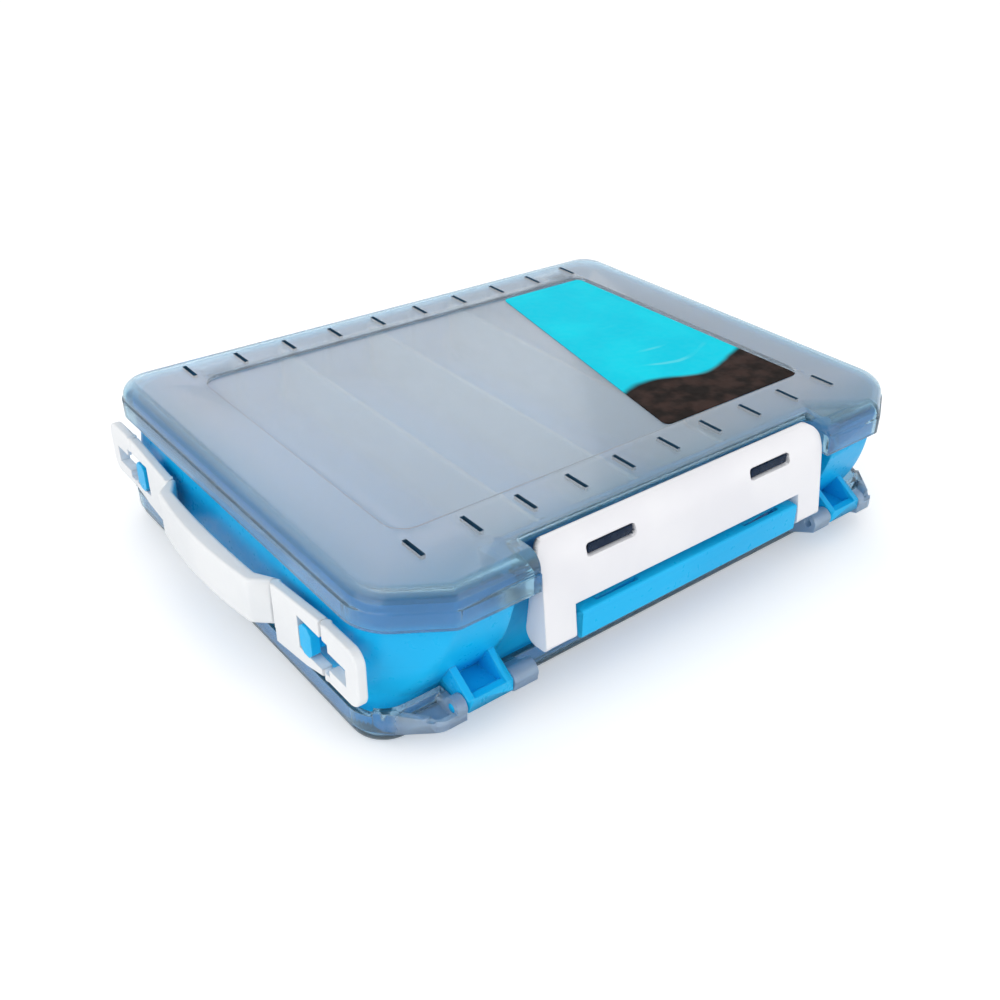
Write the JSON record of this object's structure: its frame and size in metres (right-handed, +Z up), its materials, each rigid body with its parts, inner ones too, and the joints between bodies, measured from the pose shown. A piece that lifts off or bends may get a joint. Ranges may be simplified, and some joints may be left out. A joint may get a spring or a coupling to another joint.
{
  "type": "double-sided tackle box",
  "caption": "Flat double-sided tackle box: a blue tray with compartments on both faces, smoke lids hinged on opposite sides, white swing latches and a strap handle on one end.",
  "frame": {"origin": "on the surface it lies on, under the middle of the whole outline, handle included", "axes": "+X along the length away from the handle, -Y towards the front latch, +Z up through the top lid"},
  "size_m": [0.216, 0.1766, 0.05],
  "materials": {
    "tray_blue": "satin",
    "lid_smoke": "clear",
    "latch_white": "satin",
    "handle_white": "satin",
    "label_film": "printed",
    "divider_clear": "clear"
  },
  "bodies": {
    "tray": {"body": "tray_blue", "divider_top_left": "divider_clear", "divider_top_middle": "divider_clear", "divider_top_right": "divider_clear", "divider_bottom_left": "divider_clear", "divider_bottom_middle": "divider_clear", "divider_bottom_right": "divider_clear"},
    "top_lid": {"top_lid": "lid_smoke", "label": "label_film"},
    "bottom_lid": {"bottom_lid": "lid_smoke"},
    "front_latch": {"front_latch": "latch_white"},
    "rear_latch": {"rear_latch": "latch_white"},
    "handle_grip": {"handle_grip": "handle_white"},
    "handle_link_front": {"handle_link_front": "handle_white"},
    "handle_link_rear": {"handle_link_rear": "handle_white"},
    "handle_loop_front": {"handle_loop_front": "handle_white"},
    "handle_loop_rear": {"handle_loop_rear": "handle_white"}
  },
  "joints": [
    {"name": "top_lid_hinge", "type": "hinge", "parent": "tray", "child": "top_lid", "pos_m": [0.00465, 0.0841, 0.0373], "axis": [-1, 0, 0], "range_deg": [0, 105]},
    {"name": "bottom_lid_hinge", "type": "hinge", "parent": "tray", "child": "bottom_lid", "pos_m": [0.00465, -0.0841, 0.0127], "axis": [-1, 0, 0], "range_deg": [0, 105]},
    {"name": "front_latch_pivot", "type": "hinge", "parent": "tray", "child": "front_latch", "pos_m": [0.00465, -0.0835, 0.0226], "axis": [1, 0, 0], "range_deg": [0, 100]},
    {"name": "rear_latch_pivot", "type": "hinge", "parent": "tray", "child": "rear_latch", "pos_m": [0.00465, 0.0835, 0.0274], "axis": [1, 0, 0], "range_deg": [0, 100]},
    {"name": "handle_pull", "type": "slide", "parent": "tray", "child": "handle_grip", "axis": [-1, 0, 0], "range_m": [0, 0.014]},
    {"name": "link_front_bend", "type": "hinge", "parent": "handle_grip", "child": "handle_link_front", "pos_m": [-0.09995, -0.0339, 0.025], "axis": [0, 0, 1], "range_deg": [0, 31.8]},
    {"name": "link_rear_bend", "type": "hinge", "parent": "handle_grip", "child": "handle_link_rear", "pos_m": [-0.09995, 0.0339, 0.025], "axis": [0, 0, -1], "range_deg": [0, 31.8]},
    {"name": "loop_front_bend", "type": "hinge", "parent": "handle_link_front", "child": "handle_loop_front", "pos_m": [-0.09995, -0.0605, 0.025], "axis": [0, 0, -1], "range_deg": [0, 31.8]},
    {"name": "loop_rear_bend", "type": "hinge", "parent": "handle_link_rear", "child": "handle_loop_rear", "pos_m": [-0.09995, 0.0605, 0.025], "axis": [0, 0, 1], "range_deg": [0, 31.8]}
  ],
  "couplings": [
    {"joint": "link_front_bend", "follows": "handle_pull", "rad_per_m": 39.6},
    {"joint": "link_rear_bend", "follows": "handle_pull", "rad_per_m": 39.6},
    {"joint": "loop_front_bend", "follows": "handle_pull", "rad_per_m": 39.6},
    {"joint": "loop_rear_bend", "follows": "handle_pull", "rad_per_m": 39.6}
  ]
}
